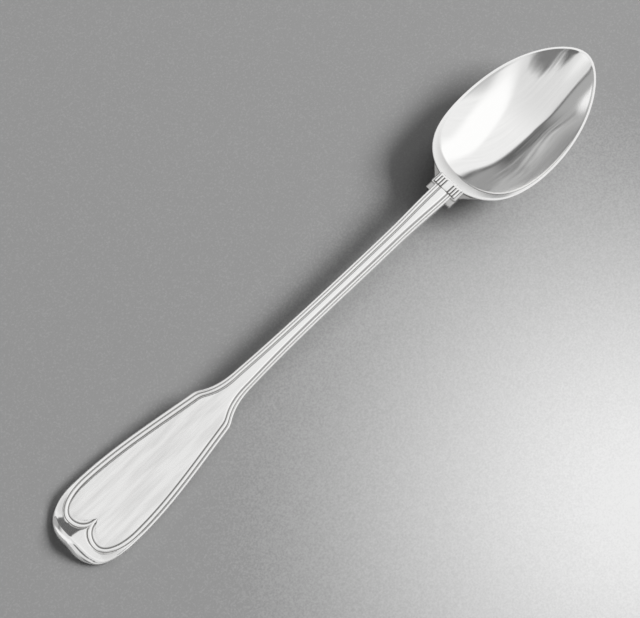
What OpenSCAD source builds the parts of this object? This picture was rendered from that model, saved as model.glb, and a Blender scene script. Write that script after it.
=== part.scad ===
// Long stew spoon in one piece of silvered metal, lying face up as it rests on a table.
// The handle is a fiddle shape edged with a double thread, and the stem ends in a
// reeded shoulder on the back of an egg-shaped bowl.

/* [Overall] */
// Length from the handle end to the bowl tip
overall_l = 300; // [290:1:320]

/* [Handle outline] */
// Width of the handle where it is widest
end_w = 35.5; // [32:0.5:39]
// Length of the rounded end, from its tip to the widest place
end_round_l = 22; // [20:0.5:25]
// Distance from the handle end to the shoulders of the wide part
shoulder_x = 80.5; // [74:0.5:86]
// Width over those shoulders
shoulder_w = 21; // [18:0.5:24]
// Length of the sweep from the shoulders into the stem
sweep_l = 17.5; // [15:0.5:21]
// Width of the stem where the sweep ends
stem_top_w = 10; // [9:0.2:12]
// Width of the stem where it is narrowest
stem_w = 7.8; // [7:0.2:9]
// Width of the stem where it meets the collar
neck_w = 9.2; // [8.4:0.2:10.4]

/* [Handle thickness and height] */
// Thickness of the handle at its end, which rests on the table
end_t = 3.3; // [2.8:0.1:4]
// Thickness of the handle at its shoulders
shoulder_t = 3.4; // [2.8:0.1:4]
// Thickness of the stem
stem_t = 4.6; // [4:0.1:5.4]
// Thickness of the stem at the collar
neck_t = 5.4; // [4.8:0.1:6]
// Height of the handle's face over the table at the shoulders
shoulder_h = 7.6; // [6.5:0.1:9]
// Height of the handle's face over the table at the middle of the stem
stem_h = 11.3; // [10:0.1:13]
// Height of the handle's face over the table at the collar
neck_h = 14.4; // [13.5:0.1:15.5]

/* [Thread border] */
// Distance from the outline to the middle of the inner thread, on the wide part
thread_inset = 2.35; // [2:0.05:2.7]
// Size of the threads on the stem, as a part of their size on the wide part
thread_on_stem = 0.74; // [0.65:0.01:0.85]
// Depth of the grooves beside the threads
groove_d = 0.35; // [0.2:0.05:0.5]
// Height of the inner thread over the panel
thread_h = 0.15; // [0.05:0.05:0.3]
// Rise of the panel along its centre line
panel_crown = 0.25; // [0.1:0.05:0.5]

/* [Lobes and shield at the handle end] */
// Distance from the handle end to the round of each lobe
lobe_x = 8.7; // [7.5:0.1:10]
// Distance of each lobe's round from the centre line
lobe_y = 7.5; // [6.5:0.1:8.5]
// Distance from the handle end to the cusp between the lobes
cusp_x = 15.5; // [13.5:0.1:18]
// Distance from the handle end to the crease where the face turns down
crease_x = 4; // [3:0.1:5]
// Rise of the shield along its ridge
ridge_h = 2.6; // [1:0.1:3.2]

/* [Collar] */
// Length of the reeded collar between the stem and the bowl
collar_l = 5; // [4:0.1:6.5]
// Width over the two lugs beside the stem
lug_w = 13.8; // [13:0.1:15]
// Length of the lugs ahead of the collar
lug_l = 3.5; // [2.5:0.1:5]
// Drop of the lugs' tops below the collar
lug_drop = 1.6; // [1:0.1:2.2]
// Width of the middle reed
mid_reed_w = 3.8; // [3.2:0.1:4.4]
// Width of each side reed
reed_w = 1.35; // [1.1:0.05:1.4]
// Side reeds on each side of the middle one
side_reeds = 3; // [2:1:3]
// Thickness of the bead across the collar's end
cross_bead_d = 1.3; // [1:0.1:1.8]

/* [Bowl] */
// Length of the bowl
bowl_l = 83; // [76:0.5:90]
// Width of the bowl
bowl_w = 50.5; // [46:0.5:55]
// Distance from the back of the bowl to its widest place
bowl_back_l = 33.5; // [30:0.5:38]
// Height of the rim over the table where it is lowest
rim_low_h = 12.7; // [11:0.1:14]
// Height of the rim over the table at the tip
rim_tip_h = 18.4; // [16:0.1:20]
// Thickness of the bowl's wall at the bottom
wall_t = 1.8; // [1.4:0.1:2.4]
// Thickness of the rim at the sides and tip
rim_t = 1.1; // [0.8:0.05:1.5]
// Width of the flat land at the back of the rim
land_w = 5.2; // [4:0.1:6.5]
// Slope of that land towards the bowl, as its fall over its width
land_fall = 1.3; // [0.6:0.1:1.8]
// Length of the heel under the back of the bowl
heel_l = 17; // [13:0.5:19]
// Width of the heel where it flares out under the rim
flare_w = 28.5; // [24:0.5:30]
// Drop of the flare's edge below the top of the neck
flare_drop = 1.9; // [1.5:0.1:2.5]
// Width of the heel where it dies into the bowl
heel_w = 8; // [6:0.5:10]

/* [Hidden] */

bowl_back_x = overall_l - bowl_l;
bowl_mid_x = bowl_back_x + bowl_back_l;
neck_x = bowl_back_x - collar_l + 1;
stem_start_x = shoulder_x + sweep_l;
stem_mid_x = (stem_start_x + neck_x) / 2;
handle_stop_x = neck_x + 2;
flare_x = bowl_back_x + 5.5;
heel_x = bowl_back_x + heel_l;
widest_x = end_round_l + 2;
// Slopes of the outline where its curves join
taper_slope = -0.16;
sweep_slope = -0.75;
stem_slope = -0.05;
// Slope of the rim at the tip
rim_tip_slope = 0.04;
// How square the curves are: 2 is an ellipse
end_power = 2.7;
crease_power = 3.6;
lobe_power = 2.2;
bowl_back_power = 2.25;
bowl_tip_power = 1.93;
bowl_depth_power = 1.8;
// Part of the thickness that lies below the edge of the handle
edge_share = 0.75;
// Distances across the thread band, outwards from the middle of the inner thread
band = [-1, -0.72, -0.5, -0.2, 0.2, 0.5, 0.78, 1.02];
crest_inset = 0.75;
// Height of the rim over the outer edge of the bowl, and thickness of the heel's edge
rim_edge = 0.4;
heel_edge = 0.7;
// How deep the heel goes into the bowl's wall, and its least thickness there
heel_bite = 0.5;
heel_skin = 0.1;
// Points along each stretch of the handle
neck_rings = 2;
stem_rings = 17;
sweep_rings = 13;
wide_rings = 13;
lobe_rings = 9;
return_rings = 7;
cusp_rings = 3;
half = 18;
around = 2 * half;
// The ring at which the groove outside a lobe's return reaches the centre line
closing_ring = neck_rings + stem_rings + sweep_rings + wide_rings + lobe_rings + return_rings;
last_ring = closing_ring + cusp_rings;
bowl_around = 72;
reed_fn = 12;

// A smooth curve from height a with slope ma at x0 to height b with slope mb at x1
function blend(x, x0, a, ma, x1, b, mb) =
    let (t = min(1, max(0, (x - x0) / (x1 - x0))), l = x1 - x0)
    a * (2 * t * t * t - 3 * t * t + 1)
    + l * ma * (t * t * t - 2 * t * t + t)
    + b * (3 * t * t - 2 * t * t * t)
    + l * mb * (t * t * t - t * t);
function clamp01(v) = min(1, max(0, v));
function mix(a, b, t) = a + (b - a) * t;
function unit(v) = v / norm(v);
// A point on a quarter of a squared ellipse, at an angle from its far end
function square_round(semi_x, semi_y, power, angle) =
    [semi_x * pow(cos(angle), 2 / power), semi_y * pow(sin(angle), 2 / power)];

// Half the width of the handle at x
function raw_half_w(x) =
    x < shoulder_x
        ? blend(x, end_round_l, end_w / 2, 0, shoulder_x, shoulder_w / 2, taper_slope)
    : x < stem_start_x
        ? blend(x, shoulder_x, shoulder_w / 2, sweep_slope, stem_start_x, stem_top_w / 2, stem_slope)
    : x < stem_mid_x
        ? blend(x, stem_start_x, stem_top_w / 2, stem_slope, stem_mid_x, stem_w / 2, 0)
    : blend(x, stem_mid_x + (neck_x - stem_mid_x) / 2, stem_w / 2, 0, neck_x, neck_w / 2, 0);
function half_w(x) = (raw_half_w(x - 1) + 2 * raw_half_w(x) + raw_half_w(x + 1)) / 4;

// Height of the handle's face, and the thickness below it
function face_z(x) =
    x < shoulder_x
        ? blend(x, crease_x + 6, end_t, 0, shoulder_x, shoulder_h, 0.09)
    : x < stem_mid_x
        ? blend(x, shoulder_x, shoulder_h, 0.09, stem_mid_x, stem_h, 0.02)
    : blend(x, stem_mid_x, stem_h, 0.02, neck_x, neck_h, 0.05);
function thickness(x) =
    x < shoulder_x
        ? blend(x, end_round_l, end_t, 0, shoulder_x, shoulder_t, 0)
    : x < stem_mid_x
        ? blend(x, shoulder_x, shoulder_t, 0, stem_mid_x, stem_t, 0)
    : blend(x, stem_mid_x, stem_t, 0, neck_x, neck_t, 0);
function under_z(x) = max(0, face_z(x) - thickness(x));
// Size of the threads at x
function thread_size(x) = mix(1, thread_on_stem, clamp01((x - shoulder_x) / sweep_l));

// Places of the rings: [x on the centre line, inner thread, its outward direction,
// size of the thread's outer side, crest or crease, outline, x under the handle]
function side_ring(x) =
    let (w = half_w(x), k = thread_size(x))
    [x, [x, w - thread_inset * k], [0, 1], k, [x, w - crest_inset * k], [x, w], x];
function end_outline(angle) =
    let (q = square_round(end_round_l, end_w / 2, end_power, angle))
    [end_round_l - q[0], q[1]];
function end_crease(angle) =
    let (q = square_round(end_round_l - crease_x, end_w / 2 - crest_inset, crease_power, angle))
    [end_round_l - q[0], q[1]];
// The round of a lobe, from the straight border to its outermost point
lobe_top_y = half_w(widest_x) - thread_inset;
function lobe_round(angle) =
    let (q = square_round(widest_x - lobe_x, lobe_top_y - lobe_y, lobe_power, angle))
    [widest_x - q[0], lobe_y + q[1]];
// The return of a lobe, from its outermost point to the cusp, and its outward direction
function lobe_return(angle) =
    [cusp_x - (cusp_x - lobe_x) * cos(angle), lobe_y * (1 - sin(angle))];
function return_out(angle) = unit([-lobe_y * cos(angle), -(cusp_x - lobe_x) * sin(angle)]);
// Angles round the outline at the lobe's outermost point, and round the return
// where its outer groove reaches the centre line
turn = 58;
closing = 62;
turn_mid_x = cusp_x + 4;
closing_mid_x = cusp_x + 1.8;
turn_under_x = 9;
// Slope of the shield away from its ridge
shield_fall = 0.26;
// How far the shield's corners lie under the face, and the length over which they sink
shield_corner = 1.2;
shield_ramp_l = 8;
// Places of two points in half a ring: the outer side of the inner thread and the groove outside it
thread_at = 6;
groove_at = 9;
function lobe_ring(t) =
    let (
        angle = mix(90, 90 - turn, t),
        at = 90 * (1 - t),
        d = lobe_round(min(90, at + 0.5)) - lobe_round(max(0, at - 0.5))
    )
    [mix(widest_x, turn_mid_x, t), lobe_round(at), unit([-d[1], d[0]]), 1,
     end_crease(angle), end_outline(angle), mix(widest_x, turn_under_x, t)];
function return_ring(t) =
    let (angle = (90 - turn) * (1 - t), p = lobe_return(closing * t), n = return_out(closing * t))
    [mix(turn_mid_x, closing_mid_x, t), p, n, t < 1 ? 1 : p[1] / (band[7] * -n[1]),
     end_crease(angle), end_outline(angle), turn_under_x * (1 - t)];
// Past the closing ring the two threads run on side by side and join at the cusp
function cusp_ring(t) =
    let (p = lobe_return(mix(closing, 90, t)), n = return_out(mix(closing, 90, t)))
    [mix(closing_mid_x, cusp_x + 1.2, t), p, n, max(0, p[1] / (band[7] * -n[1])),
     end_crease(0), end_outline(0), 0];

rings = concat(
    [for (i = [0 : neck_rings - 1]) side_ring(mix(handle_stop_x, neck_x, i / neck_rings))],
    [for (i = [0 : stem_rings - 1]) side_ring(mix(neck_x, stem_start_x, i / stem_rings))],
    [for (i = [0 : sweep_rings - 1]) side_ring(mix(stem_start_x, shoulder_x - 3, i / sweep_rings))],
    [for (i = [0 : wide_rings - 1]) side_ring(mix(shoulder_x - 3, widest_x, i / wide_rings))],
    [for (i = [0 : lobe_rings - 1]) lobe_ring(i / lobe_rings)],
    [for (i = [0 : return_rings - 1]) return_ring(i / return_rings)],
    [for (i = [0 : cusp_rings]) i == 0 ? return_ring(1) : cusp_ring(i / cusp_rings)]
);

// Points of one half of a ring, from the centre of the face round to the centre below
function half_ring(r) =
    let (
        m = r[0], p = r[1], n = r[2], open = r[3], e = r[4], q = r[5], b = [r[6], 0],
        k = thread_size(p[0]),
        z = face_z(p[0]),
        shield = clamp01((cusp_x - e[0]) / 6),
        s0 = p + n * band[7] * open,
        s0_z = face_z(s0[0]) + ridge(s0),
        e_z = face_z(e[0]) + ridge(e),
        low = under_z(q[0]),
        q_z = low + edge_share * thickness(q[0]) * mix(1, 0.6, shield),
        crest = z + thread_h,
        groove = z - groove_d,
        joined = clamp01(open / k),
        in = unit(b - q + [0.001, 0])
    )
    [
        [m, 0, face_z(m) + panel_crown],
        [mix(m, p[0] - n[0] * k, 0.5), (p[1] - n[1] * k) / 2, z + panel_crown * 0.7],
        concat(p + n * band[0] * k, [z]),
        concat(p + n * band[1] * k, [groove]),
        concat(p + n * band[2] * k, [z]),
        concat(p + n * band[3] * k, [crest]),
        concat(p + n * band[4] * open, [crest]),
        concat(p + n * band[5] * open, [mix(crest, z, joined)]),
        concat(p + n * band[6] * open, [mix(crest, groove, joined)]),
        concat(s0, [mix(crest, s0_z, joined)]),
        concat(mix(s0, e, 0.5), [mix(s0_z, e_z, 0.5) + 0.06]),
        concat(e, [e_z]),
        concat(mix(e, q, 0.55), [mix(e_z, q_z, 0.15)]),
        concat(mix(e, q, 0.88), [mix(e_z, q_z, 0.45)]),
        concat(q, [q_z]),
        concat(q + in * 0.35, [mix(low, q_z, 0.55)]),
        concat(q + in * 1.2, [mix(low, q_z, 0.2)]),
        concat(mix(q + in * 1.2, b, 0.5), [mix(low, under_z(b[0]), 0.5) + 0.05]),
        concat(b, [under_z(b[0])])
    ];
// Rise of the shield over the face: highest along its ridge, and a little under the face at its corners
function ridge(p) =
    max(-shield_corner * clamp01((cusp_x - p[0]) / shield_ramp_l),
        ridge_h * (cusp_x - p[0]) / (cusp_x - crease_x) - shield_fall * p[1]);
function mirrored(v) = [v[0], -v[1], v[2]];
function full_ring(h) = concat(h, [for (j = [half - 1 : -1 : 1]) mirrored(h[j])]);

// From the closing ring on, both halves share the points along the ridge and below it
function point_of(i, j) =
    let (a = j % around, h = a > half ? around - a : a)
    i < closing_ring || h < groove_at && i < last_ring ? i * around + a
    : h > groove_at ? closing_ring * around + h
    : i < last_ring ? i * around + groove_at
    : h < thread_at ? i * around + a
    : i * around + thread_at;
// Triangles that the shared points leave with two equal corners, or flat on the ridge
function on_ridge(i) =
    i == last_ring * around + thread_at
    || i >= closing_ring * around && i % around >= groove_at && i % around <= half;
function kept(f) =
    f[0] != f[1] && f[1] != f[2] && f[0] != f[2] && !(on_ridge(f[0]) && on_ridge(f[1]) && on_ridge(f[2]));

module handle() {
    points = [for (r = rings) for (v = full_ring(half_ring(r))) v];
    sides = [
        for (i = [0 : last_ring - 1]) for (j = [0 : around - 1])
            each [
                [point_of(i, j), point_of(i + 1, j), point_of(i + 1, j + 1)],
                [point_of(i, j), point_of(i + 1, j + 1), point_of(i, j + 1)]
            ]
    ];
    stop = [[for (j = [0 : around - 1]) j]];
    cusp = [
        for (j = [0 : 4])
            each [
                [point_of(last_ring, thread_at), point_of(last_ring, j + 1), point_of(last_ring, j)],
                [point_of(last_ring, thread_at), point_of(last_ring, around - j),
                 point_of(last_ring, around - j - 1)]
            ]
    ];
    color("silver")
        polyhedron(points, concat([for (f = sides) if (kept(f)) f], stop, cusp), 4);
}

// Outline of the bowl's rim, seen from above, round from the tip
function bowl_outline(a) =
    let (
        c = cos(a), s = sin(a),
        power = c > 0 ? bowl_tip_power : bowl_back_power,
        semi = c > 0 ? bowl_l - bowl_back_l : bowl_back_l
    )
    [semi * sign(c) * pow(abs(c), 2 / power), bowl_w / 2 * sign(s) * pow(abs(s), 2 / power)];
function rim_z(x) =
    let (low_x = bowl_mid_x - 6)
    x < low_x
        ? blend(x, bowl_back_x, neck_h - 0.2, 0, low_x, rim_low_h, 0)
        : blend(x, low_x, rim_low_h, 0, overall_l, rim_tip_h, rim_tip_slope);
// How far a place round the rim belongs to the land at its back
function at_back(a) = pow(max(0, -cos(a)), 3);

module bowl() {
    inner = [0.12, 0.25, 0.38, 0.5, 0.61, 0.71, 0.8, 0.88, 0.95, 1];
    outer = [1, 0.96, 0.9, 0.82, 0.72, 0.6, 0.46, 0.3, 0.15];
    angles = [for (i = [0 : bowl_around - 1]) i * 360 / bowl_around];
    rounds = concat(
        [for (f = inner) [for (a = angles)
            let (
                o = bowl_outline(a),
                inset = mix(rim_t, land_w, at_back(a)),
                edge = o * (1 - inset / norm(o)),
                top = rim_z(bowl_mid_x + edge[0]) - 0.1 - land_fall * at_back(a)
            )
            [bowl_mid_x + f * edge[0], f * edge[1],
             wall_t + (top - wall_t) * pow(f, bowl_depth_power)]
        ]],
        [[for (a = angles)
            let (o = bowl_outline(a), edge = o * (1 - 0.45 * rim_t / norm(o)))
            [bowl_mid_x + edge[0], edge[1], rim_z(bowl_mid_x + edge[0])]
        ]],
        [for (f = outer) [for (a = angles)
            let (o = bowl_outline(a), top = rim_z(bowl_mid_x + o[0]) - rim_edge)
            [bowl_mid_x + f * o[0], f * o[1], top * pow(f, bowl_depth_power)]
        ]]
    );
    n = len(rounds);
    points = concat([for (r = rounds) for (v = r) v],
        [[bowl_mid_x, 0, wall_t], [bowl_mid_x, 0, 0]]);
    at = function (i, j) i * bowl_around + j % bowl_around;
    faces = concat(
        [for (j = [0 : bowl_around - 1]) [n * bowl_around, at(0, j + 1), at(0, j)]],
        [for (i = [0 : n - 2]) for (j = [0 : bowl_around - 1])
            each [[at(i, j), at(i, j + 1), at(i + 1, j + 1)], [at(i, j), at(i + 1, j + 1), at(i + 1, j)]]],
        [for (j = [0 : bowl_around - 1]) [n * bowl_around + 1, at(n - 1, j), at(n - 1, j + 1)]]
    );
    color("silver") polyhedron(points, faces, 4);
}

// Two lugs that stand out beside the stem where it runs into the collar
module lugs() {
    r = 0.8;
    y = lug_w / 2 - r;
    top = neck_h - r;
    color("silver")
        for (side = [-1, 1])
            hull()
                for (p = [
                    [neck_x - lug_l + r, y, top - lug_drop],
                    [neck_x + 0.8, y, top - 0.5],
                    [bowl_back_x + 2, y, top - 0.7],
                    [neck_x - lug_l + r, 2, top - lug_drop - 1],
                    [bowl_back_x + 2, 2, top - 0.7],
                    [neck_x - lug_l + 2, y - 1, top - 3.2],
                    [bowl_back_x + 3, y - 1, top - 3.6]
                ])
                    translate([p[0], side * p[1], p[2]])
                        sphere(r, $fn = 12);
}

// The block of the collar, under its reeds
module collar() {
    r = 0.8;
    y = mid_reed_w / 2 + side_reeds * reed_w - r - 0.1;
    color("silver")
        hull()
            for (x = [neck_x + r, bowl_back_x + 1.5])
                for (side = [-1, 1]) {
                    translate([x, side * y, neck_h - 0.5 - r])
                        sphere(r, $fn = 12);
                    translate([x + 0.5, side * (y - 2), neck_h - neck_t + 1.5])
                        sphere(r, $fn = 12);
                }
}

// Small lengthwise reeds on the collar, with a wider one in the middle
module reeds() {
    module reed(y, w, rise)
        hull()
            for (x = [neck_x + 0.6, bowl_back_x + 0.4])
                translate([x, y, neck_h - 0.5 + rise])
                    scale([0.5, 1, 0.6])
                        sphere(w / 2, $fn = reed_fn);
    color("silver") {
        reed(0, mid_reed_w, -0.2);
        for (side = [-1, 1])
            for (i = [0 : side_reeds - 1])
                reed(side * (mid_reed_w / 2 + (i + 0.5) * reed_w), reed_w, 0.1 - 0.1 * i);
    }
}

// The bead across the end of the collar, against the land of the bowl
module cross_bead() {
    y = mid_reed_w / 2 + side_reeds * reed_w - 0.4;
    color("silver")
        hull()
            for (side = [-1, 1])
                translate([bowl_back_x + 0.6, side * y, neck_h - 0.35])
                    sphere(cross_bead_d / 2, $fn = reed_fn);
}

// Height of the bowl's outer surface over the table at a place under the rim
function bowl_outer_z(x, y) =
    let (
        dx = (bowl_mid_x - x) / bowl_back_l,
        f = pow(pow(dx, bowl_back_power) + pow(abs(y) / (bowl_w / 2), bowl_back_power), 1 / bowl_back_power)
    )
    (rim_z(bowl_mid_x - bowl_back_l * dx / f) - rim_edge) * pow(f, bowl_depth_power);

// Sections of the heel: [place, half width, top, thickness of its edge, bottom, power of its curve]
function heel_section(x) =
    let (
        w = x < flare_x
            ? blend(x, neck_x, neck_w / 2 + 0.9, 0.6, flare_x, flare_w / 2, 0.6)
            : blend(x, flare_x, flare_w / 2, -0.3, heel_x, heel_w / 2, -0.6),
        low = blend(x, neck_x, neck_h - neck_t + 0.1, -0.12, heel_x, bowl_outer_z(heel_x, 0) + 0.1, -0.4),
        power = blend(x, neck_x, 1, 0, flare_x, 2.2, 0)
    )
    x < flare_x
        ? [x, w, blend(x, neck_x, neck_h - 1.3, 0, flare_x, neck_h - flare_drop, -0.4), heel_edge, low, power]
        : [x, w, min(neck_h - flare_drop, bowl_outer_z(x, w) + heel_bite),
           mix(heel_edge, heel_skin, clamp01((x - flare_x) / 3)), low, power];

// The point over one on the underside of the heel, inside the wall of the bowl
function above_in_heel(p, top) =
    [p[0], p[1], max(p[2] + heel_skin, min(top, bowl_outer_z(p[0], p[1]) + heel_bite))];

// The heel: the stem flares out under the back of the rim and dies into the bowl as a plain drop
module heel() {
    rings = 12;
    n = 19;
    points = [
        for (i = [0 : rings])
            let (
                s = heel_section(mix(neck_x, heel_x, i / rings)),
                below = [for (j = [0 : n - 1])
                    let (a = j * 180 / (n - 1), z = s[2] - s[3])
                    [s[0], s[1] * cos(a), z - (z - s[4]) * pow(sin(a), s[5])]]
            )
            each concat(below, [for (j = [n - 1 : -1 : 0]) above_in_heel(below[j], s[2])])
    ];
    m = 2 * n;
    at = function (i, j) i * m + j % m;
    sides = [
        for (i = [0 : rings - 1]) for (j = [0 : m - 1])
            each [
                [at(i, j), at(i, j + 1), at(i + 1, j + 1)],
                [at(i, j), at(i + 1, j + 1), at(i + 1, j)]
            ]
    ];
    ends = [
        [for (j = [m - 1 : -1 : 0]) at(0, j)],
        [for (j = [0 : m - 1]) at(rings, j)]
    ];
    color("silver") polyhedron(points, concat(sides, ends), 4);
}

module spoon() {
    translate([-overall_l / 2, 0, 0])
        union() {
            handle();
            bowl();
            lugs();
            collar();
            reeds();
            cross_bead();
            heel();
        }
}

spoon();
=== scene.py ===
# %% [markdown]
# # A stew spoon in silvered metal
# The spoon is 300 mm long and forged in one piece: a wide handle edged with a double thread, a slim
# stem, a reeded collar, and an egg-shaped bowl. A polished spoon has no colour of its own, so almost
# all of its look is shape and light. The lesson builds each surface smooth enough to mirror the
# studio without wobbles, and then builds a studio that is worth mirroring.

# %% Load the frame
import math

import bmesh
import bpy
from mathutils import Matrix, Vector


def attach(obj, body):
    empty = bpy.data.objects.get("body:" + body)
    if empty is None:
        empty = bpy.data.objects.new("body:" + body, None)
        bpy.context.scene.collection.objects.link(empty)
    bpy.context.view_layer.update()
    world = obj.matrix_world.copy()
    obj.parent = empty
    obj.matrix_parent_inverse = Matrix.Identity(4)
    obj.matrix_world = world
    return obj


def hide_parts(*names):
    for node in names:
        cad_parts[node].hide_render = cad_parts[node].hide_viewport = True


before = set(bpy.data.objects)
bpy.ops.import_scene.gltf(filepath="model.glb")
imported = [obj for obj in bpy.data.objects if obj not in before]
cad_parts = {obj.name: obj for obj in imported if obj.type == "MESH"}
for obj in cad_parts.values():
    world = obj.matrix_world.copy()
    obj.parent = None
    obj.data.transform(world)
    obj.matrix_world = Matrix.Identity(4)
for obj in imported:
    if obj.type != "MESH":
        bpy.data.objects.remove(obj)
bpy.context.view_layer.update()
print("nodes in the frame:", sorted(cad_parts))

# %% [markdown]
# ## The camera
# The photograph looks steeply down on the spoon from the handle's side, through a long lens. The
# camera comes first, because each surface is judged from here. Its place is given as the angles and
# the distance from the point where the camera aims, on the table.

# %% Camera
aim = Vector((-0.00693, 0.0020, 0.0))
distance = 0.8299
elevation = math.radians(70.58)
turn = math.radians(46.11)
roll = math.radians(-0.55)

flat_view = Vector((math.cos(turn), math.sin(turn), 0))
view_dir = flat_view * math.cos(elevation) - Vector((0, 0, math.sin(elevation)))
side = view_dir.cross(Vector((0, 0, 1))).normalized()
up = side.cross(view_dir)
cam_right = side * math.cos(roll) + up * math.sin(roll)
cam_up = up * math.cos(roll) - side * math.sin(roll)
camera_data = bpy.data.cameras.new("camera")
camera_data.lens = 112.5
camera_data.sensor_width = 36
camera = bpy.data.objects.new("camera", camera_data)
camera.matrix_world = Matrix.Translation(aim - view_dir * distance) @ Matrix(
    (cam_right, cam_up, -view_dir)).transposed().to_4x4()
bpy.context.collection.objects.link(camera)
bpy.context.scene.camera = camera
bpy.context.scene.view_settings.view_transform = "Standard"
print("camera at", [round(c, 3) for c in camera.location])

# %% [markdown]
# ## The sizes of the spoon
# All sizes are millimetres, counted along the spoon from the handle end. They are the sizes of the
# solid model, so that the finished surfaces stand exactly where its solid stands.

# %% Sizes of the handle
overall_l = 300
end_w, end_round_l = 35.5, 22
shoulder_x, shoulder_w, sweep_l = 80.5, 21, 17.5
stem_top_w, stem_w, neck_w = 10, 7.8, 9.2
end_t, shoulder_t, stem_t, neck_t = 3.3, 3.4, 4.6, 5.4
shoulder_h, stem_h, neck_h = 7.6, 11.3, 14.4
taper_slope, sweep_slope, stem_slope = -0.16, -0.75, -0.05
shoulder_climb, stem_climb, neck_climb = 0.09, 0.02, 0.05
thread_inset, thread_on_stem, crest_inset, border_w = 2.35, 0.74, 0.75, 3.25
panel_crown, stem_crown, collar_step = 0.25, 0.45, 0.55
lobe_x, lobe_y, cusp_x, crease_x = 8.7, 7.5, 15.5, 4
ridge_h, shield_fall = 2.6, 0.26
print("handle end", end_w, "mm wide, stem", stem_w, "mm")

# %% Sizes of the collar and the bowl
collar_l, lug_w, lug_l, lug_drop = 5, 13.8, 3.5, 1.6
mid_reed_w, reed_w, side_reeds, cross_bead_d = 3.8, 1.35, 3, 1.3
bowl_l, bowl_w, bowl_back_l = 83, 50.5, 33.5
rim_low_h, rim_tip_h = 12.7, 18.4
wall_t, rim_t, land_w, land_fall = 1.8, 1.1, 5.2, 1.3
heel_l, heel_w, flare_w, flare_drop = 17, 8, 28.5, 1.9

bowl_back_x = overall_l - bowl_l
bowl_mid_x = bowl_back_x + bowl_back_l
neck_x = bowl_back_x - collar_l + 1
stem_start_x = shoulder_x + sweep_l
stem_mid_x = (stem_start_x + neck_x) / 2
widest_x = end_round_l + 2
print("bowl from", bowl_back_x, "to", overall_l, "mm")

# %% Small helpers for curves


def curve(x, x0, a, slope_a, x1, b, slope_b):
    """A smooth curve from height a at x0 to height b at x1, with those slopes."""
    t = min(1, max(0, (x - x0) / (x1 - x0)))
    reach = x1 - x0
    return (a * (2 * t**3 - 3 * t * t + 1) + reach * slope_a * (t**3 - 2 * t * t + t)
            + b * (3 * t * t - 2 * t**3) + reach * slope_b * (t**3 - t * t))


def clamp01(v):
    return min(1.0, max(0.0, v))


def mix(a, b, t):
    return a + (b - a) * t


def flat(x, y):
    return Vector((x, y))


def spot(x, y, z):
    """A place on the spoon, from millimetres along it to metres in the frame."""
    return Vector((x - overall_l / 2, y, z)) / 1000


print("the tip is at x =", round(spot(overall_l, 0, 0).x, 3), "m")

# %% [markdown]
# ## A grid that is bent into shape
# Handle, bowl and heel are all skins that run in rows and columns. A flat grid of faces is made with
# one operator, and each corner then goes to its place by a rule of row and column. Rows that end in
# one point or on the centre line fall together, so doubles are merged, and what is left without
# area on the centre line is deleted before a half is mirrored.

# %% The bent grid and the finished piece


def bent_grid(rows, columns, place, mirrored=False):
    """A grid bent by place(row, column): a point, how dark and dull it is, and how satin."""
    bm = bmesh.new()
    groove = bm.verts.layers.float.new("groove")
    satin = bm.verts.layers.float.new("satin")
    bmesh.ops.create_grid(bm, x_segments=rows - 1, y_segments=columns - 1, size=1)
    for v in bm.verts:
        row = round((v.co.x + 1) / 2 * (rows - 1))
        column = round((v.co.y + 1) / 2 * (columns - 1))
        v.co, v[groove], v[satin] = place(row, column)
    bmesh.ops.remove_doubles(bm, verts=bm.verts, dist=1e-6)
    if mirrored:
        flat_faces = [f for f in bm.faces if all(abs(v.co.y) < 1e-7 for v in f.verts)]
        bmesh.ops.delete(bm, geom=flat_faces, context="FACES")
        bmesh.ops.mirror(bm, geom=bm.verts[:] + bm.edges[:] + bm.faces[:], axis="Y", merge_dist=1e-6)
    bmesh.ops.dissolve_degenerate(bm, edges=bm.edges, dist=1e-7)
    return bm


def finished(name, bm, subdivisions=0):
    """Closes what is open, points the faces outwards and makes the object."""
    rims = [e for e in bm.edges if len(e.link_faces) == 1]
    if rims:
        bmesh.ops.holes_fill(bm, edges=rims, sides=0)
    bmesh.ops.recalc_face_normals(bm, faces=bm.faces)
    loose = [e for e in bm.edges if len(e.link_faces) != 2]
    mesh = bpy.data.meshes.new(name)
    bm.to_mesh(mesh)
    bm.free()
    mesh.shade_smooth()
    piece = bpy.data.objects.new(name, mesh)
    bpy.context.collection.objects.link(piece)
    if subdivisions:
        smooth = piece.modifiers.new("smooth", "SUBSURF")
        smooth.levels = smooth.render_levels = subdivisions
    print(name, len(mesh.vertices), "corners,", len(loose), "edges left open")
    return piece


# %% [markdown]
# ## The handle's outline and face
# Seen from above, the handle runs from a round end through square shoulders into a slim stem. Its
# face rises from the table to the collar. Both are short rules of the distance along the spoon, so
# that every thread can follow them.

# %% Outline and face of the handle


def half_width(x):
    """Half the width at x, with the joints of its curves eased over a millimetre."""
    def raw(x):
        if x < shoulder_x:
            return curve(x, end_round_l, end_w / 2, 0, shoulder_x, shoulder_w / 2, taper_slope)
        if x < stem_start_x:
            return curve(x, shoulder_x, shoulder_w / 2, sweep_slope,
                         stem_start_x, stem_top_w / 2, stem_slope)
        if x < stem_mid_x:
            return curve(x, stem_start_x, stem_top_w / 2, stem_slope, stem_mid_x, stem_w / 2, 0)
        return curve(x, (stem_mid_x + neck_x) / 2, stem_w / 2, 0, neck_x, neck_w / 2, 0)
    return (raw(x - 1) + 2 * raw(x) + raw(x + 1)) / 4


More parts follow.
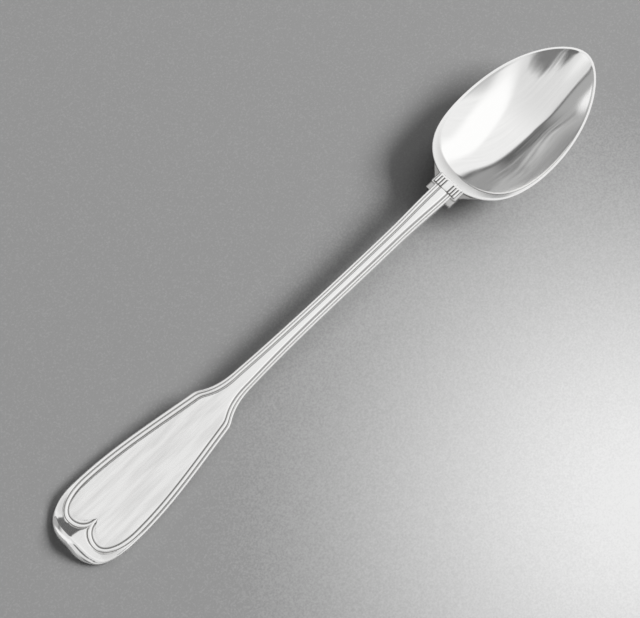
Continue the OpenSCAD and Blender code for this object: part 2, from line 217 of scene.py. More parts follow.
def face_height(x):
    """Height of the face over the table: it climbs to the neck and dips a little before the collar."""
    if x < shoulder_x:
        return curve(x, crease_x + 6, end_t, 0, shoulder_x, shoulder_h, shoulder_climb)
    if x < stem_mid_x:
        return curve(x, shoulder_x, shoulder_h, shoulder_climb, stem_mid_x, stem_h, stem_climb)
    dip = curve(x, neck_x - 14, 0, 0, neck_x, collar_step, 0)
    return curve(x, stem_mid_x, stem_h, stem_climb, neck_x, neck_h, neck_climb) - dip


def thickness(x):
    if x < shoulder_x:
        return curve(x, end_round_l, end_t, 0, shoulder_x, shoulder_t, 0)
    if x < stem_mid_x:
        return curve(x, shoulder_x, shoulder_t, 0, stem_mid_x, stem_t, 0)
    return curve(x, stem_mid_x, stem_t, 0, neck_x, neck_t, 0)


def back_height(x):
    return max(0, face_height(x) - thickness(x))


def on_stem(x):
    return clamp01((x - shoulder_x) / sweep_l)


def thread_size(x):
    return mix(1, thread_on_stem, on_stem(x))


def base_height(p):
    """Height of the face before its threads: a little fuller along the centre line."""
    x, y = p
    field = half_width(x) - border_w * thread_size(x)
    crown = mix(panel_crown, stem_crown, on_stem(x)) * clamp01((x - 12) / 20)
    return face_height(x) + crown * max(0, 1 - (y / field) ** 2)


print("width at the shoulders", round(2 * half_width(shoulder_x), 1), "mm")

# %% [markdown]
# ## The double thread
# A thread is a small half-round bead that runs along the border between two grooves. At the handle
# end it turns round two lobes and runs back to a cusp on the centre line. The skin follows it: each
# row of the grid crosses the border at a right angle, from the middle of the panel over both beads
# and round to the middle of the back. In the stretch from the neck to the lobes the rows stand side
# by side, round the lobes they open like a fan, and past the cusp they close to a point. A row
# names its points on the middle line, the inner thread, the crest, the outline and the back, the
# way out across the threads, and how wide the grooves inside and outside of them still are.

# %% Rows of the handle
end_power, crease_power, lobe_power = 2.7, 3.6, 2.2
# The last row of the fan: on the middle line, round the end in degrees, and on the back
fan_x, fan_degrees, fan_back_x = 19.5, 32, 9
return_x, tail_x, tail_l = cusp_x + 1.8, cusp_x + 1.2, 1.6
# From the middle of the inner thread to the far side of the outer groove
foot_d = 1.3


def side_row(x):
    """A row straight across the stem or the wide part."""
    w, k = half_width(x), thread_size(x)
    return dict(middle=x, thread=flat(x, w - thread_inset * k), out=flat(0, 1), inner=k, outer=k,
                crest=flat(x, w - crest_inset * k), outline=flat(x, w), back=x)


def squared_quarter(semi_x, semi_y, power, degrees):
    """A quarter of an ellipse, squarer the higher the power."""
    a = math.radians(degrees)
    right, far = max(0, math.cos(a)) ** (2 / power), max(0, math.sin(a)) ** (2 / power)
    return flat(semi_x * right, semi_y * far)


def end_outline(degrees):
    q = squared_quarter(end_round_l, end_w / 2, end_power, degrees)
    return flat(end_round_l - q.x, q.y)


def end_crease(degrees):
    q = squared_quarter(end_round_l - crease_x, end_w / 2 - crest_inset, crease_power, degrees)
    return flat(end_round_l - q.x, q.y)


lobe_top_y = half_width(widest_x) - thread_inset


def lobe_round(degrees):
    q = squared_quarter(widest_x - lobe_x, lobe_top_y - lobe_y, lobe_power, degrees)
    return flat(widest_x - q.x, lobe_y + q.y)


def lobe_row(t):
    """From the widest place round a lobe to its outermost point, where the rows open like a fan."""
    a = 90 * (1 - t)
    ahead = lobe_round(min(90, a + 0.5)) - lobe_round(max(0, a - 0.5))
    end_a = mix(90, fan_degrees, t)
    return dict(middle=mix(widest_x, fan_x, t), thread=lobe_round(a),
                out=flat(-ahead.y, ahead.x).normalized(), inner=1, outer=1,
                crest=end_crease(end_a), outline=end_outline(end_a),
                back=mix(widest_x, fan_back_x, t))


def return_row(t, closing=62):
    """From a lobe's outermost point back to the cusp: past 1 the outer groove has closed."""
    a = math.radians(closing * t if t < 1 else mix(closing, 90, t - 1))
    depth = cusp_x - lobe_x
    p = flat(cusp_x - depth * math.cos(a), lobe_y * (1 - math.sin(a)))
    out = flat(-lobe_y * math.cos(a), -depth * math.sin(a)).normalized()
    end_a = fan_degrees * max(0, 1 - t)
    middle = mix(fan_x, return_x, t) if t < 1 else mix(return_x, tail_x, t - 1)
    return dict(middle=middle, thread=p, out=out, inner=1,
                outer=1 if t < 1 else max(0, p.y / (foot_d * -out.y)),
                crest=end_crease(end_a), outline=end_outline(end_a),
                back=fan_back_x * max(0, 1 - t))


def tail_row(t):
    """Past the cusp the joined threads run out in a short point."""
    x = cusp_x + tail_l * t
    return dict(middle=mix(tail_x, cusp_x + tail_l, t), thread=flat(x, 0), out=flat(0, -1),
                inner=1 - t, outer=0, crest=end_crease(0), outline=end_outline(0), back=0)


def steps(count, start=0.0, stop=1.0):
    return [mix(start, stop, i / count) for i in range(count)]


handle_rows = (
    [side_row(x) for x in steps(2, neck_x + 2, neck_x)]
    + [side_row(x) for x in steps(40, neck_x, stem_start_x + 4)]
    + [side_row(x) for x in steps(24, stem_start_x + 4, shoulder_x - 6)]
    + [side_row(x) for x in steps(24, shoulder_x - 6, widest_x)]
    + [lobe_row(t) for t in steps(26)]
    + [return_row(t) for t in steps(18)]
    + [return_row(t) for t in steps(7, 1, 2)]
    + [tail_row(t) for t in (0.0, 0.3, 0.6, 0.85, 1.0)]
)
print(len(handle_rows), "rows along the handle")

# %% [markdown]
# ## The points across a row
# Each thread needs enough points to stay a clean half-round, and each groove a narrow floor. The list
# gives the distance outwards from the middle of the inner thread and the height over the face. The
# shield between the lobes rises to a ridge like a low roof.

# %% Heights across a row
threads = [
    (-1.95, 0.0), (-1.7, -0.05), (-1.42, -0.14), (-1.17, -0.24), (-0.97, -0.33), (-0.84, -0.37),
    (-0.73, -0.27), (-0.62, -0.06), (-0.46, 0.1), (-0.24, 0.17), (0.0, 0.19), (0.24, 0.17),
    (0.46, 0.1), (0.62, -0.06), (0.73, -0.25), (0.82, -0.34), (0.92, -0.34), (1.02, -0.2), (1.12, -0.02),
]
thread_top = 0.19
# Shares of the way across the panel, the shield's side and the bead on the crest
across_panel = (0, 0.15, 0.35, 0.55, 0.75, 0.9)
across_facet = (0.33, 0.67)
across_bead = (0.1, 0.4, 0.72)
satin_columns = len(across_panel) + 3
# Shares over the edge, then millimetres inwards with shares of the edge's height, then the back
over_edge = (0.04, 0.2, 0.4, 0.6, 0.8, 1)
under_edge = ((0.12, 0.7), (0.42, 0.38), (0.95, 0.14))
across_back = (0, 0.35, 0.7, 1)
bead_h, bead_w = 0.17, 0.95
edge_share = 0.75
lobe_dip = 0.25
dull_shield = 0.12
# The deepest that the shield's sides fall, and the length over which they come to it
shield_low, shield_low_l = -1.2, 8


def shield_rise(p):
    """The shield's roof: it falls from its ridge to both sides, and along it to the cusp."""
    lowest = shield_low * clamp01((cusp_x - p.x) / shield_low_l)
    roof = ridge_h * (cusp_x - p.x) / (cusp_x - crease_x) - shield_fall * abs(p.y)
    return (roof + lowest) / 2 + math.sqrt(((roof - lowest) / 2) ** 2 + 0.02)


print("shield ridge", round(shield_rise(flat(crease_x, 0)), 2), "mm over the face at the crease")

# %% The edge and the back of a row


def edge_and_back(row, crest_z, shield):
    """Points from the crest over the edge and round to the middle of the back, with heights."""
    crest, outline, back = row["crest"], row["outline"], row["back"]
    low = back_height(outline.x)
    edge_z = low + edge_share * thickness(outline.x) * mix(1, 0.6, shield)
    points = []
    for t in over_edge:
        a = t * math.pi / 2
        reach = mix(math.sin(a) ** 0.7, t, shield)
        fall = mix(1 - math.cos(a) ** 0.7 if t < 1 else 1, 0.2 * t + 0.8 * t**3, shield)
        points.append((crest.lerp(outline, reach), mix(crest_z, edge_z, fall)))
    inwards = (flat(back, 0) - outline + flat(0.001, 0)).normalized()
    for d, share in under_edge:
        points.append((outline + inwards * d, mix(low, edge_z, share)))
    shelf = outline + inwards * 1.7
    for t in across_back:
        p = shelf.lerp(flat(back, 0), t)
        points.append((p, mix(low + 0.05, back_height(p.x), t)))
    return points


print(len(over_edge) + len(under_edge) + len(across_back), "points from the crest to the back")

# %% All points of a row


def row_points(row):
    """Points across a row, each with its height and how deep in a groove it lies."""
    thread, out, inner, outer = row["thread"], row["out"], row["inner"], row["outer"]
    crest, middle = row["crest"], flat(row["middle"], 0)
    joined = clamp01(outer)
    shield = clamp01((cusp_x - crest.x) / 6)
    points = []

    def add(p, z, groove=0.0):
        points.append((p, z, groove))

    start = thread + out * threads[0][0] * inner
    dip = lobe_dip * clamp01((widest_x - middle.x) / 3) * min(1, inner)
    for t in across_panel:
        p = middle.lerp(start, t)
        add(p, base_height(p) - dip * max(0, t - 0.8) * 5)
    for d, h in threads:
        p = thread + out * d * (inner if d < 0 else outer)
        rise = h * min(1, inner) if d < 0 else mix(thread_top * min(1, inner), h, joined)
        rise -= dip * clamp01((-0.9 - d) / 1.05)
        add(p, base_height(p) + rise, clamp01(-h / 0.18 - 1) * (joined if d > 0 else min(1, inner)))
    foot = thread + out * foot_d * outer
    foot_z = mix(base_height(foot) + thread_top * min(1, inner),
                 base_height(foot) + shield_rise(foot), joined)
    bead = bead_h * (1 - 0.4 * shield)
    crest_z = base_height(crest) + shield_rise(crest) + bead
    gap = (crest - foot).length
    bead_start = crest.lerp(foot, min(1, bead_w / gap))
    add(foot, foot_z, dull_shield * shield)
    for t in across_facet:
        p = foot.lerp(bead_start, t)
        facet = base_height(p) + shield_rise(p)
        add(p, mix(mix(foot_z, facet, t), facet, joined), dull_shield * shield)
    for t in across_bead:
        p = bead_start.lerp(crest, t)
        face = base_height(p) + shield_rise(p)
        add(p, face + bead * math.sin(math.pi / 2 * t), dull_shield * shield * (1 - t))
    add(crest, crest_z)
    for p, z in edge_and_back(row, crest_z, shield):
        add(p, z)
    return points


handle_points = [row_points(row) for row in handle_rows]
across = len(handle_points[0])
print(across, "points across each row")

# %% The handle


def on_handle(row, column):
    """A corner of the handle's skin, satin on the panel only."""
    p, z, groove = handle_points[row][column]
    y = 0 if abs(p.y) < 1e-4 else p.y
    satin = clamp01((stem_start_x + 6 - p.x) / 25) if column < satin_columns else 0
    return spot(p.x, y, z), groove, satin


handle_bm = bent_grid(len(handle_rows), across, on_handle, mirrored=True)
handle = finished("handle", handle_bm, subdivisions=1)

# %% [markdown]
# ## The bowl
# The rim is an egg that is drawn as a cosine along the spoon and a sine across it, with a few cosine
# terms that fill the back and narrow the tip. Such a curve has no corner in its bend, and neither do
# the rings inside it: they go from the egg at the rim to a plain ellipse at the bottom, because a
# mirror shows every jump in curvature as a kink. At the back the rim is a wide sloping land, which is
# painted darker and duller than the hollow.

# %% Rings of the bowl
rings_inside = (0, 0.05, 0.12, 0.2, 0.29, 0.38, 0.47, 0.56, 0.65, 0.73, 0.8, 0.86, 0.91, 0.95, 0.98)
rings_of_rim = (0, 0.06, 0.3, 0.6, 0.84, 0.93, 0.98, 1)
rings_outside = (0.985, 0.95, 0.9, 0.84, 0.77, 0.69, 0.6, 0.5, 0.4, 0.3, 0.2, 0.1, 0)
bowl_rings = (
    [("inside", f) for f in rings_inside]
    + [("rim", f) for f in rings_of_rim]
    + [("outside", f) for f in rings_outside]
)
bowl_around = 97
print(len(bowl_rings), "rings of", bowl_around - 1, "corners")

# %% The bowl
# Half width of the egg in powers of the cosine, and half sizes of the bottom's ellipse
egg = (24.9, -3.5, 1.8, -4.0)
bottom_round = (38.5, 23.5)
half_l = bowl_l / 2
bowl_centre_x = overall_l - half_l
# How far the lowest place lies behind the middle
bottom_shift = 4
mean_rim_h, lip_h, rim_edge = 14.2, 0.16, 0.4
# Where the rim's top starts to round over, and the rest of its width
rim_turn, rim_turn_l = 0.84, 0.16
dull_land = 0.42


def bowl_curve(f):
    """How far up the wall has risen, from 0 at the bottom to 1 at the rim."""
    return 1.15 * f**2 - 0.15 * f**4


def rim_height(x):
    """Height of the rim: it sinks from the collar to beside the middle and rises to the tip."""
    low_x = bowl_mid_x - 6
    if x < low_x:
        return curve(x, bowl_back_x, neck_h - 0.2, 0, low_x, rim_low_h, 0)
    return curve(x, low_x, rim_low_h, 0, overall_l, rim_tip_h, 0.04)


def on_bowl(ring, column):
    """A corner of the bowl, on the egg at the rim and on the bottom's ellipse near the middle."""
    kind, f = bowl_rings[ring]
    a = 2 * math.pi * column / (bowl_around - 1)
    c, s = math.cos(a), math.sin(a)
    outline = flat(half_l * c, s * sum(k * c**i for i, k in enumerate(egg)))
    rim = rim_height(bowl_centre_x + outline.x)
    land = max(0, -c) ** 3
    inset = mix(rim_t, land_w, land)
    inner = outline * (1 - inset / outline.length)
    if kind == "rim":
        p = inner.lerp(outline, f)
        rounded = 1 - math.sqrt(max(0, 1 - clamp01((f - rim_turn) / rim_turn_l) ** 2))
        z = rim - (0.1 + land_fall * land) * (1 - clamp01(f / rim_turn)) - rim_edge * rounded
        return spot(bowl_centre_x + p.x, p.y, z), dull_land * land * (1 - f), 0
    inside = kind == "inside"
    bottom, edge = (wall_t, inner) if inside else (0, outline)
    top = rim - lip_h - land_fall * land if inside else rim - rim_edge
    shaped = 1 - (1 - f * f) ** 3
    from_bottom = edge + flat(bottom_shift, 0)
    p = flat(bottom_round[0] * c, bottom_round[1] * s).lerp(from_bottom, shaped) * f
    z = bottom + (mix(mean_rim_h, top, shaped) - bottom) * bowl_curve(f)
    return spot(bowl_centre_x - bottom_shift + p.x, p.y, z), 0, 0


bowl_bm = bent_grid(len(bowl_rings), bowl_around, on_bowl)
bowl = finished("bowl", bowl_bm, subdivisions=2)

# %% [markdown]
# ## The heel
# Under the collar the stem flares out to the back of the rim and dies into the bowl as a drop. It is a
# loft of shallow arches, with the flat side up against the bowl.

# %% The heel
flare_x = bowl_back_x + 5.5
heel_x = bowl_back_x + heel_l
heel_rows, heel_around = 25, 41
bowl_back_power = 2.25
# Thickness of the flare's edge, least thickness, and depth in the bowl's wall
heel_edge, heel_skin, heel_bite = 0.7, 0.1, 0.5
# How dark the heel is painted, as shade under the bowl
heel_painted_shade = 0.7


def bowl_outside(x, y):
    """Height of the bowl's outer surface at a place under its back."""
    dx = (bowl_mid_x - x) / bowl_back_l
    dy = abs(y) / (bowl_w / 2)
    f = (max(0, dx) ** bowl_back_power + dy ** bowl_back_power) ** (1 / bowl_back_power)
    return (rim_height(bowl_mid_x - bowl_back_l * dx / f) - rim_edge) * bowl_curve(f)


def on_heel(row, column):
    """A corner of the heel: flat side up under the bowl, an arch below."""
    x = mix(neck_x, heel_x, row / (heel_rows - 1))
    if x < flare_x:
        w = curve(x, neck_x, neck_w / 2 + 0.9, 0.6, flare_x, flare_w / 2, 0.6)
        top = curve(x, neck_x, neck_h - 1.3, 0, flare_x, neck_h - flare_drop, -0.4)
    else:
        w = curve(x, flare_x, flare_w / 2, -0.3, heel_x, heel_w / 2, -0.6)
        top = min(neck_h - flare_drop, bowl_outside(x, w) + heel_bite)
    edge = mix(heel_edge, heel_skin, clamp01((x - flare_x) / 3))
    low = curve(x, neck_x, neck_h - neck_t + 0.1, -0.12,
                heel_x, bowl_outside(heel_x, 0) + heel_skin, -0.4)
    power = curve(x, neck_x, 1, 0, flare_x, 2.2, 0)
    a = 2 * math.pi * column / (heel_around - 1)
    y = w * math.cos(a)
    under = top - edge - (top - edge - low) * abs(math.sin(a)) ** power
    above = max(under + heel_skin, min(top, bowl_outside(x, y) + heel_bite))
    # The heel is painted dark all over, as shade under the bowl
    return spot(x, y, under if math.sin(a) >= 0 else above), heel_painted_shade, 0


heel = finished("heel", bent_grid(heel_rows, heel_around, on_heel), subdivisions=1)

# %% [markdown]
# ## The collar
# Two lugs stand out beside the stem, a block joins them, and small reeds run along its top into a
# bead that crosses it. Lugs and block are cubes with their corners moved and their edges bevelled.
# Tarnish and painted shade lie darkest under the reeds, greyer over the lugs and the low sides, and
# faintest on the plain middle.

# %% Block and lugs
reeds_half_w = mid_reed_w / 2 + side_reeds * reed_w
block_top = neck_h - 0.05
middle_half_w = 1.75


def bevelled_block(bm, x_ends, y_ends, z_ends, radius):
    """A cube whose corners go to the low and high ends along each axis, with round edges."""
    cube = bmesh.ops.create_cube(bm, size=2)["verts"]
    ends = (x_ends, y_ends, z_ends)
    for v in cube:
        v.co = spot(*(high if c > 0 else low for c, (low, high) in zip(v.co, ends)))
    edges = list({e for v in cube for e in v.link_edges})
    bmesh.ops.bevel(bm, geom=edges, offset=radius / 1000, segments=4, profile=0.5,
                    affect="EDGES", material=-1)


def collar_tarnish_and_shade(y, z):
    """How dark patina and painted shade make the collar at a distance from the centre line and a height."""
    if middle_half_w < y < reeds_half_w + 0.2 and abs(z - block_top) < 0.12:
        return 1
    if z < neck_h - 1.4:
        return 0.5
    return 0.3 if y > middle_half_w else 0.03


block_bm = bmesh.new()
# The bar under the reeds, and its plain middle, which stands a little higher
bevelled_block(block_bm, (neck_x, bowl_back_x + 1.2), (-reeds_half_w, reeds_half_w),
               (neck_h - 4.2, block_top), 0.3)
bevelled_block(block_bm, (neck_x + 0.25, bowl_back_x + 0.6), (-1.7, 1.7),
               (neck_h - 1, block_top + 0.45), 0.4)
# On each side the lug beside the stem, and the higher one beside the collar
for sign in (-1, 1):
    lug_y = sorted((sign * 3.9, sign * lug_w / 2))
    bevelled_block(block_bm, (neck_x - lug_l, neck_x + 0.6), lug_y,
                   (neck_h - 4.6, neck_h - lug_drop), 0.75)
    bevelled_block(block_bm, (neck_x - 0.3, bowl_back_x + 1.6), lug_y,
                   (neck_h - 4.8, neck_h - 0.5), 0.6)
# Tarnish and painted shade on the collar: darkest between the reeds, grey on the lugs and the low sides
block_tarnish_and_shade = block_bm.verts.layers.float.new("groove")
for v in block_bm.verts:
    v[block_tarnish_and_shade] = collar_tarnish_and_shade(abs(v.co.y) * 1000, v.co.z * 1000)
block = finished("collar_block", block_bm)

# %% [markdown]
# ## The reeds
# The reeds and the bead are stretched balls: the front half of a ball moves forward, and what lies
# between the halves becomes the bar. A row of equal bars would look machined, so each starts at a
# slightly different place and lies a little lower or higher, as years of wear have left them.

# %% Reeds and bead
reed_wear = (0.1, 0.02, 0.14)


def stretched_ball(bm, start, end, radii):
    """A bar with round ends between two places, with radii along X, Y and Z."""
    ball = bmesh.ops.create_uvsphere(bm, u_segments=28, v_segments=18, radius=1)["verts"]
    along = (end - start).normalized()
    for v in ball:
        half = end if v.co.dot(along) > 1e-6 else start
        v.co = spot(*(half + Vector((v.co.x * radii[0], v.co.y * radii[1], v.co.z * radii[2]))))


reeds_bm = bmesh.new()
for sign in (-1, 1):
    for i in range(side_reeds):
        y = sign * (mid_reed_w / 2 + (i + 0.5) * reed_w)
        worn = reed_wear[i if sign > 0 else i - 1]
        start = Vector((neck_x + 0.6 + worn, y, block_top - 0.06 - worn))
        end = Vector((bowl_back_x + 0.2, y, block_top - 0.1))
        stretched_ball(reeds_bm, start, end, (0.45, reed_w * 0.42, 0.55))
bead_x, bead_y, bead_z = bowl_back_x + 0.8, reeds_half_w - 0.5, block_top - 0.2
stretched_ball(reeds_bm, Vector((bead_x, -bead_y, bead_z)), Vector((bead_x, bead_y, bead_z)),
               (cross_bead_d / 2,) * 3)
# Tarnish and painted shade darken each reed towards its foot on the block
reed_tarnish_and_shade = reeds_bm.verts.layers.float.new("groove")
for v in reeds_bm.verts:
    v[reed_tarnish_and_shade] = clamp01((block_top + 0.18 - v.co.z * 1000) / 0.2)
reeds = finished("collar_reeds", reeds_bm)

# %% [markdown]
# ## Silver
# Silver plate is a metal with a faint warmth. On the threads, the collar and the bowl it is
# mirror-polished, and what keeps it from looking like glass is a haze of hair-fine marks from years
# of cloth, and the long soft waves that forging and buffing leave. On the panel, which lies against
# the hand and the drawer, the marks are dense, run along the spoon and are mixed with small pits.
# Grooves hold a little dark tarnish that no cloth reaches. One material does all of it: two numbers
# painted on the skin say how satin each place is and how dark and dull it is. The second number is
# the tarnish in the grooves, makes the land of the bowl darker and duller, dulls the shield, which the
# cloth hardly touches, and is painted shade on the heel under the bowl and on the collar.

# %% Node helpers


def node(tree, kind, **settings):
    """A new node with its settings."""
    made = tree.nodes.new(kind)
    for key, value in settings.items():
        setattr(made, key, value)
    return made


def math_node(tree, operation, *values):
    """A math node whose inputs are numbers or sockets."""
    made = node(tree, "ShaderNodeMath", operation=operation)
    for socket, value in zip(made.inputs, values):
        if isinstance(value, (int, float)):
            socket.default_value = value
        else:
            tree.links.new(value, socket)
    return made.outputs["Value"]


def stretched_noise(tree, coords, scale, detail=3.0, turned=0.0, start=(0.3, 0.37, 0.41)):
    """Noise with its own number of repeats per unit along X, Y and Z.

    It starts a little off the origin, where the layers of the noise line up in a seam.
    """
    mapping = node(tree, "ShaderNodeMapping")
    mapping.inputs["Location"].default_value = start
    mapping.inputs["Scale"].default_value = scale
    mapping.inputs["Rotation"].default_value = (0, 0, turned)
    tree.links.new(coords, mapping.inputs["Vector"])
    noise = node(tree, "ShaderNodeTexNoise")
    noise.inputs["Scale"].default_value = 1
    noise.inputs["Detail"].default_value = detail
    tree.links.new(mapping.outputs["Vector"], noise.inputs["Vector"])
    return noise.outputs["Fac"]


def ranged(tree, value, low, high, out_low, out_high, smooth=False):
    """A value carried from one range to another, straight or with soft ends."""
    box = node(tree, "ShaderNodeMapRange", interpolation_type="SMOOTHSTEP" if smooth else "LINEAR")
    for socket, number in zip(("From Min", "From Max", "To Min", "To Max"), (low, high, out_low, out_high)):
        box.inputs[socket].default_value = number
    tree.links.new(value, box.inputs["Value"])
    return box.outputs["Result"]


def blended(tree, factor, first, second):
    """A mix of two numbers or sockets."""
    made = node(tree, "ShaderNodeMix", data_type="FLOAT")
    for socket, value in zip(made.inputs[2:4], (first, second)):
        if isinstance(value, (int, float)):
            socket.default_value = value
        else:
            tree.links.new(value, socket)
    tree.links.new(factor, made.inputs["Factor"])
    return made.outputs[0]


# %% Colour and roughness of the silver
# The silver, and the dark of tarnish and painted shade
bright, tarnish_and_shade = (0.96, 0.957, 0.95, 1), (0.13, 0.125, 0.12, 1)
silver = bpy.data.materials.new("silver")
silver.use_nodes = True
tree = silver.node_tree
shader = tree.nodes["Principled BSDF"]
shader.inputs["Metallic"].default_value = 1
coords = node(tree, "ShaderNodeTexCoord").outputs["Object"]
# The groove number: tarnish in the grooves, a darker and duller land and shield, and painted shade on the
# heel and the collar
groove = node(tree, "ShaderNodeAttribute", attribute_name="groove").outputs["Fac"]
satin = node(tree, "ShaderNodeAttribute", attribute_name="satin").outputs["Fac"]

haze = stretched_noise(tree, coords, (45, 420, 420), 4)
mirror_rough = ranged(tree, haze, 0.3, 0.7, 0.05, 0.11)
satin_rough = ranged(tree, haze, 0.3, 0.7, 0.18, 0.28)
roughness = blended(tree, satin, mirror_rough, satin_rough)
roughness = math_node(tree, "MULTIPLY_ADD", groove, 0.25, roughness)
tree.links.new(roughness, shader.inputs["Roughness"])

colour = node(tree, "ShaderNodeMix", data_type="RGBA")
colour.inputs[6].default_value = bright
colour.inputs[7].default_value = tarnish_and_shade
clouds = ranged(tree, stretched_noise(tree, coords, (40, 420, 420), 5), 0.42, 0.72, 0, 0.16)
tree.links.new(math_node(tree, "MULTIPLY_ADD", clouds, satin, groove), colour.inputs["Factor"])
tree.links.new(colour.outputs[2], shader.inputs["Base Color"])
print("silver so far has", len(tree.nodes), "nodes")

# %% Waves, marks and pits in the silver
# Heights are in millimetres: long waves, hair marks in two directions, and pits
waves = math_node(tree, "MULTIPLY", stretched_noise(tree, coords, (14, 170, 170), 1), 0.02)
marks = stretched_noise(tree, coords, (200, 2600, 2600), 2)
crossing = stretched_noise(tree, coords, (500, 2200, 2200), 2, 0.6)
mark_height = blended(tree, satin, 0.0015, 0.02)
marked = math_node(tree, "MULTIPLY", math_node(tree, "ADD", marks, crossing), mark_height)
cells = node(tree, "ShaderNodeTexVoronoi")
cells.inputs["Scale"].default_value = 380
tree.links.new(coords, cells.inputs["Vector"])
pit = ranged(tree, cells.outputs["Distance"], 0.04, 0.12, -0.012, 0, smooth=True)
pitted = math_node(tree, "MULTIPLY", pit, satin)
height = math_node(tree, "ADD", math_node(tree, "ADD", waves, marked), pitted)
bump = node(tree, "ShaderNodeBump")
bump.inputs["Strength"].default_value = 1
bump.inputs["Distance"].default_value = 0.001
tree.links.new(height, bump.inputs["Height"])
tree.links.new(bump.outputs["Normal"], shader.inputs["Normal"])

pieces = (handle, bowl, heel, reeds, block)
for piece in pieces:
    piece.data.materials.append(silver)
print("silver with", len(tree.nodes), "nodes on", len(pieces), "pieces")

# %% [markdown]
# ## The table
# The spoon lies on a plain board with a fine grain. The board is mid grey, and a pool of light is painted
# on it to the lower right of the picture, as under a shaded lamp. A soft round step between two greys on
# the board's own coordinates paints that pool instead of a lamp, which would also change the light on the
# silver.

# %% Table
# The board's own grey, and the grey of the painted light pool
board_grey, painted_pool_grey = 0.27, 0.76
floor_bm = bmesh.new()
bmesh.ops.create_grid(floor_bm, x_segments=4, y_segments=4, size=3)
floor_mesh = bpy.data.meshes.new("table")
floor_bm.to_mesh(floor_mesh)
floor_bm.free()
table = bpy.data.objects.new("table", floor_mesh)
bpy.context.collection.objects.link(table)
board = bpy.data.materials.new("board with painted light pool")
board.use_nodes = True
board_tree = board.node_tree
board_shader = board_tree.nodes["Principled BSDF"]
board_shader.inputs["Roughness"].default_value = 0.5
board_coords = node(board_tree, "ShaderNodeTexCoord").outputs["Object"]
grain = stretched_noise(board_tree, board_coords, (1300, 1300, 1300), 3)
# The painted light pool: paler within 0.19 m of a place to the lower right of the spoon
from_painted_pool = node(board_tree, "ShaderNodeVectorMath", operation="DISTANCE")
from_painted_pool.inputs[1].default_value = (0.03, -0.15, 0)
board_tree.links.new(board_coords, from_painted_pool.inputs[0])
painted_light_pool = ranged(board_tree, from_painted_pool.outputs["Value"], 0, 0.19, 1, 0, smooth=True)
board_grain = ranged(board_tree, grain, 0.3, 0.7, -0.09, 0.09)
board_colour = node(board_tree, "ShaderNodeMix", data_type="RGBA")
board_colour.inputs[6].default_value = (board_grey, board_grey, board_grey, 1)
board_colour.inputs[7].default_value = (painted_pool_grey, painted_pool_grey, painted_pool_grey, 1)
board_tree.links.new(math_node(board_tree, "ADD", painted_light_pool, board_grain), board_colour.inputs["Factor"])
board_tree.links.new(board_colour.outputs[2], board_shader.inputs["Base Color"])
table.data.materials.append(board)
print("table", round(table.dimensions.x, 1), "m wide")

# %% [markdown]
# ## The sky that the silver mirrors
# Polished silver shows its surroundings, and in plain white ones it turns into white paper. Here a
# wide white sky stands overhead, and past a border to the spoon's left comes a darker streaked wall.
# That border is the long dark line in the bowl. A few soft ovals put brighter and darker places where
# the lobes, the shield and the bowl's tip look. All is painted by direction only, in degrees from
# straight up along the spoon and across it, so it stays the same from every camera.

# %% Directions in the sky
world = bpy.data.worlds.new("studio")
bpy.context.scene.world = world
world.use_nodes = True
sky = world.node_tree
direction = node(sky, "ShaderNodeSeparateXYZ")
sky.links.new(node(sky, "ShaderNodeTexCoord").outputs["Generated"], direction.inputs[0])
dx, dy, dz = (direction.outputs[i] for i in range(3))
level = math_node(sky, "SQRT", math_node(sky, "ADD", math_node(sky, "MULTIPLY", dx, dx),
                                         math_node(sky, "MULTIPLY_ADD", dy, dy, 1e-6)))
from_up = math_node(sky, "MULTIPLY", math_node(sky, "ARCTAN2", level, dz), 180 / math.pi)
per_level = math_node(sky, "DIVIDE", from_up, level)
along = math_node(sky, "MULTIPLY", dx, per_level)
across_sky = math_node(sky, "MULTIPLY", dy, per_level)
print("sky directions take", len(sky.nodes), "nodes")

# %% The border of the white sky
# How many degrees a direction lies past the border, and noise drawn out along it
bend = math_node(sky, "MULTIPLY_ADD", along, -0.0027, -0.1)
level_border = math_node(sky, "MULTIPLY_ADD", along, bend, 43)
border = math_node(sky, "ADD", level_border, ranged(sky, along, -14, 4, 6, 0, smooth=True))
past = math_node(sky, "SUBTRACT", across_sky, border)
streak_place = node(sky, "ShaderNodeCombineXYZ")
sky.links.new(along, streak_place.inputs[0])
sky.links.new(past, streak_place.inputs[1])
streaks = stretched_noise(sky, streak_place.outputs[0], (0.02, 0.34, 1), 5, start=(0, 0, 0))
wavering = math_node(sky, "ADD", past, ranged(sky, streaks, 0.3, 0.7, -7, 7))
print("border and streaks, now", len(sky.nodes), "nodes")

# %% Soft ovals


def spot_in_sky(x, y, length, width, turned=0, firm=0.3, ragged=0.0):
    """1 in the middle of a soft oval in the sky, 0 outside.

    Place and half sizes are degrees, firm is how much of it is full, and ragged breaks its edge.
    """
    c, s = math.cos(math.radians(turned)), math.sin(math.radians(turned))
    right = math_node(sky, "SUBTRACT", along, x)
    far = math_node(sky, "SUBTRACT", across_sky, y)
    u = math_node(sky, "MULTIPLY_ADD", right, c / length, math_node(sky, "MULTIPLY", far, s / length))
    v = math_node(sky, "MULTIPLY_ADD", far, c / width, math_node(sky, "MULTIPLY", right, -s / width))
    r = math_node(sky, "SQRT", math_node(sky, "ADD", math_node(sky, "MULTIPLY", u, u),
                                         math_node(sky, "MULTIPLY", v, v)))
    if ragged:
        r = math_node(sky, "ADD", r, ranged(sky, streaks, 0.3, 0.7, -ragged, ragged))
    return ranged(sky, r, firm, 1, 1, 0, smooth=True)


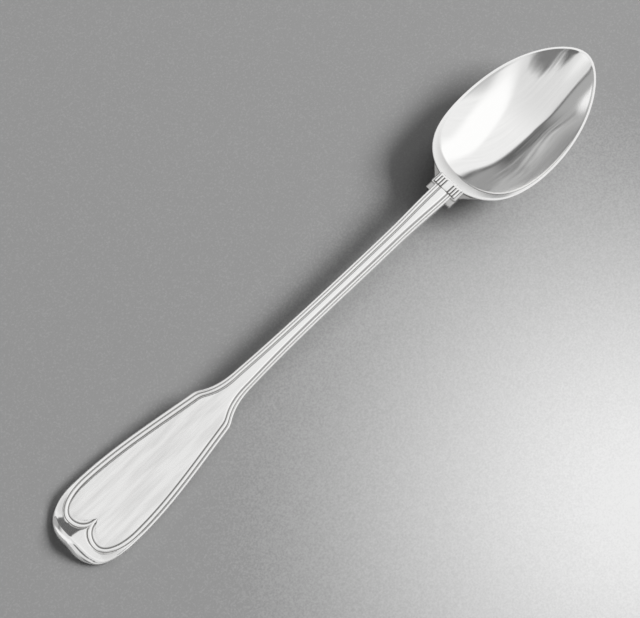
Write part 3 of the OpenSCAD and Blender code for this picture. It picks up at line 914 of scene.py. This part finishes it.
# %% The wall past the border
# Its greys by degrees past the border
wall_stops = ((3, 0.13), (9, 0.17), (17, 0.2), (24, 0.36), (31, 0.46), (40, 0.28), (60, 0.22), (90, 0.3))
wall_greys = node(sky, "ShaderNodeValToRGB")
while len(wall_greys.color_ramp.elements) < len(wall_stops):
    wall_greys.color_ramp.elements.new(0.5)
for stop, (degrees, grey) in zip(wall_greys.color_ramp.elements, wall_stops):
    stop.position = degrees / 90
    stop.color = (grey, grey, grey, 1)
sky.links.new(math_node(sky, "DIVIDE", wavering, 90), wall_greys.inputs["Fac"])
wall = math_node(sky, "MULTIPLY", wall_greys.outputs["Color"],
                 ranged(sky, streaks, 0.3, 0.7, 0.6, 1.45))

# Plainer towards both ends, and a narrow bright window low in it
plainer_behind = ranged(sky, along, -16, 2, 1, 0, smooth=True)
plainer_ahead = ranged(sky, along, 35, 65, 0, 0.6, smooth=True)
beside = math_node(sky, "ADD", plainer_behind, plainer_ahead)
beside = math_node(sky, "MULTIPLY", beside, ranged(sky, past, 1, 7, 0, 1, smooth=True))
wall = blended(sky, beside, wall, 0.4)
wall = blended(sky, spot_in_sky(-16, 73.4, 11, 3.2, 40, 0.4), wall, 0.95)
print("wall of", len(wall_stops), "greys")

# %% The white sky
# Soft ovals in it, each with the level that it gives
white_spots = (
    ((-48, 20, 20, 30), 0.92),
    ((0, -64, 32, 13), 0.55),
    ((38, -26, 76, 13, 30, 0.6), 1.03),
    ((-32.5, -43, 12, 16, 23, 0.55, 0.12), 0.2),
    ((-40.9, -18.7, 8, 17, 23, 0.5, 0.1), 0.14),
    ((-88, -45, 30, 46, 0, 0.5), 0.15),
)
white = ranged(sky, along, -20, 15, 0.74, 0.88, smooth=True)
white = math_node(sky, "MULTIPLY", white, ranged(sky, streaks, 0.3, 0.7, 0.95, 1.05))
for place, level_there in white_spots:
    white = blended(sky, spot_in_sky(*place), white, level_there)
light = blended(sky, ranged(sky, past, -3, 3, 0, 1, smooth=True), white, wall)
light = blended(sky, spot_in_sky(-80, 45, 44, 34, 0, 0.6), light, 0.92)
print("white sky with", len(white_spots), "ovals")

# %% How strong the sky is
# It lights the board only weakly, and the camera sees it as one pale grey
on_board, seen = 0.08, 0.8
ray = node(sky, "ShaderNodeLightPath")
dimmed = math_node(sky, "MULTIPLY", light, on_board)
light = blended(sky, ray.outputs["Is Diffuse Ray"], light, dimmed)
light = blended(sky, ray.outputs["Is Camera Ray"], light, seen)
sky.links.new(light, sky.nodes["Background"].inputs["Color"])
print("sky with", len(sky.nodes), "nodes")

# %% [markdown]
# ## Two lamps
# The shadow lies to the left of the spoon, soft at its edge and deepest beside the bowl. Two wide
# lamps far off to the right make it, the second much weaker and further round, so that a trace of
# shadow also falls below the collar. They stand 6 m away, because a near lamp would leave its own
# bright pool on the board, and the silver doesn't mirror them.

# %% Lamps


def soft_light(name, place, aim_at, width, height, power):
    """A wide soft light that faces a place. Only the sky is mirrored in the silver."""
    data = bpy.data.lights.new(name, "AREA")
    data.shape = "RECTANGLE"
    data.size, data.size_y = width, height
    data.energy = power
    lamp = bpy.data.objects.new(name, data)
    lamp.location = place
    lamp.rotation_euler = (Vector(place) - Vector(aim_at)).to_track_quat("Z", "Y").to_euler()
    lamp.visible_camera = False
    lamp.visible_glossy = False
    bpy.context.collection.objects.link(lamp)
    return lamp


key = soft_light("key", (4.25, -3.0, 3.0), (0, 0, 0), 3.2, 1.8, 635)
second = soft_light("second", (5.0, 1.05, 3.2), (0, 0, 0), 3.0, 2.0, 95)
print("lamps at", round(key.location.length, 1), "and", round(second.location.length, 1), "m")

# %% [markdown]
# ## Handing the pieces over
# The spoon has one body and no joints, so all its pieces ride together, and the five of them stand
# for its one solid. The table is only a stage and isn't part of it.

# %% Hand the pieces over
for piece in pieces:
    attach(piece, "root")
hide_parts("spoon")
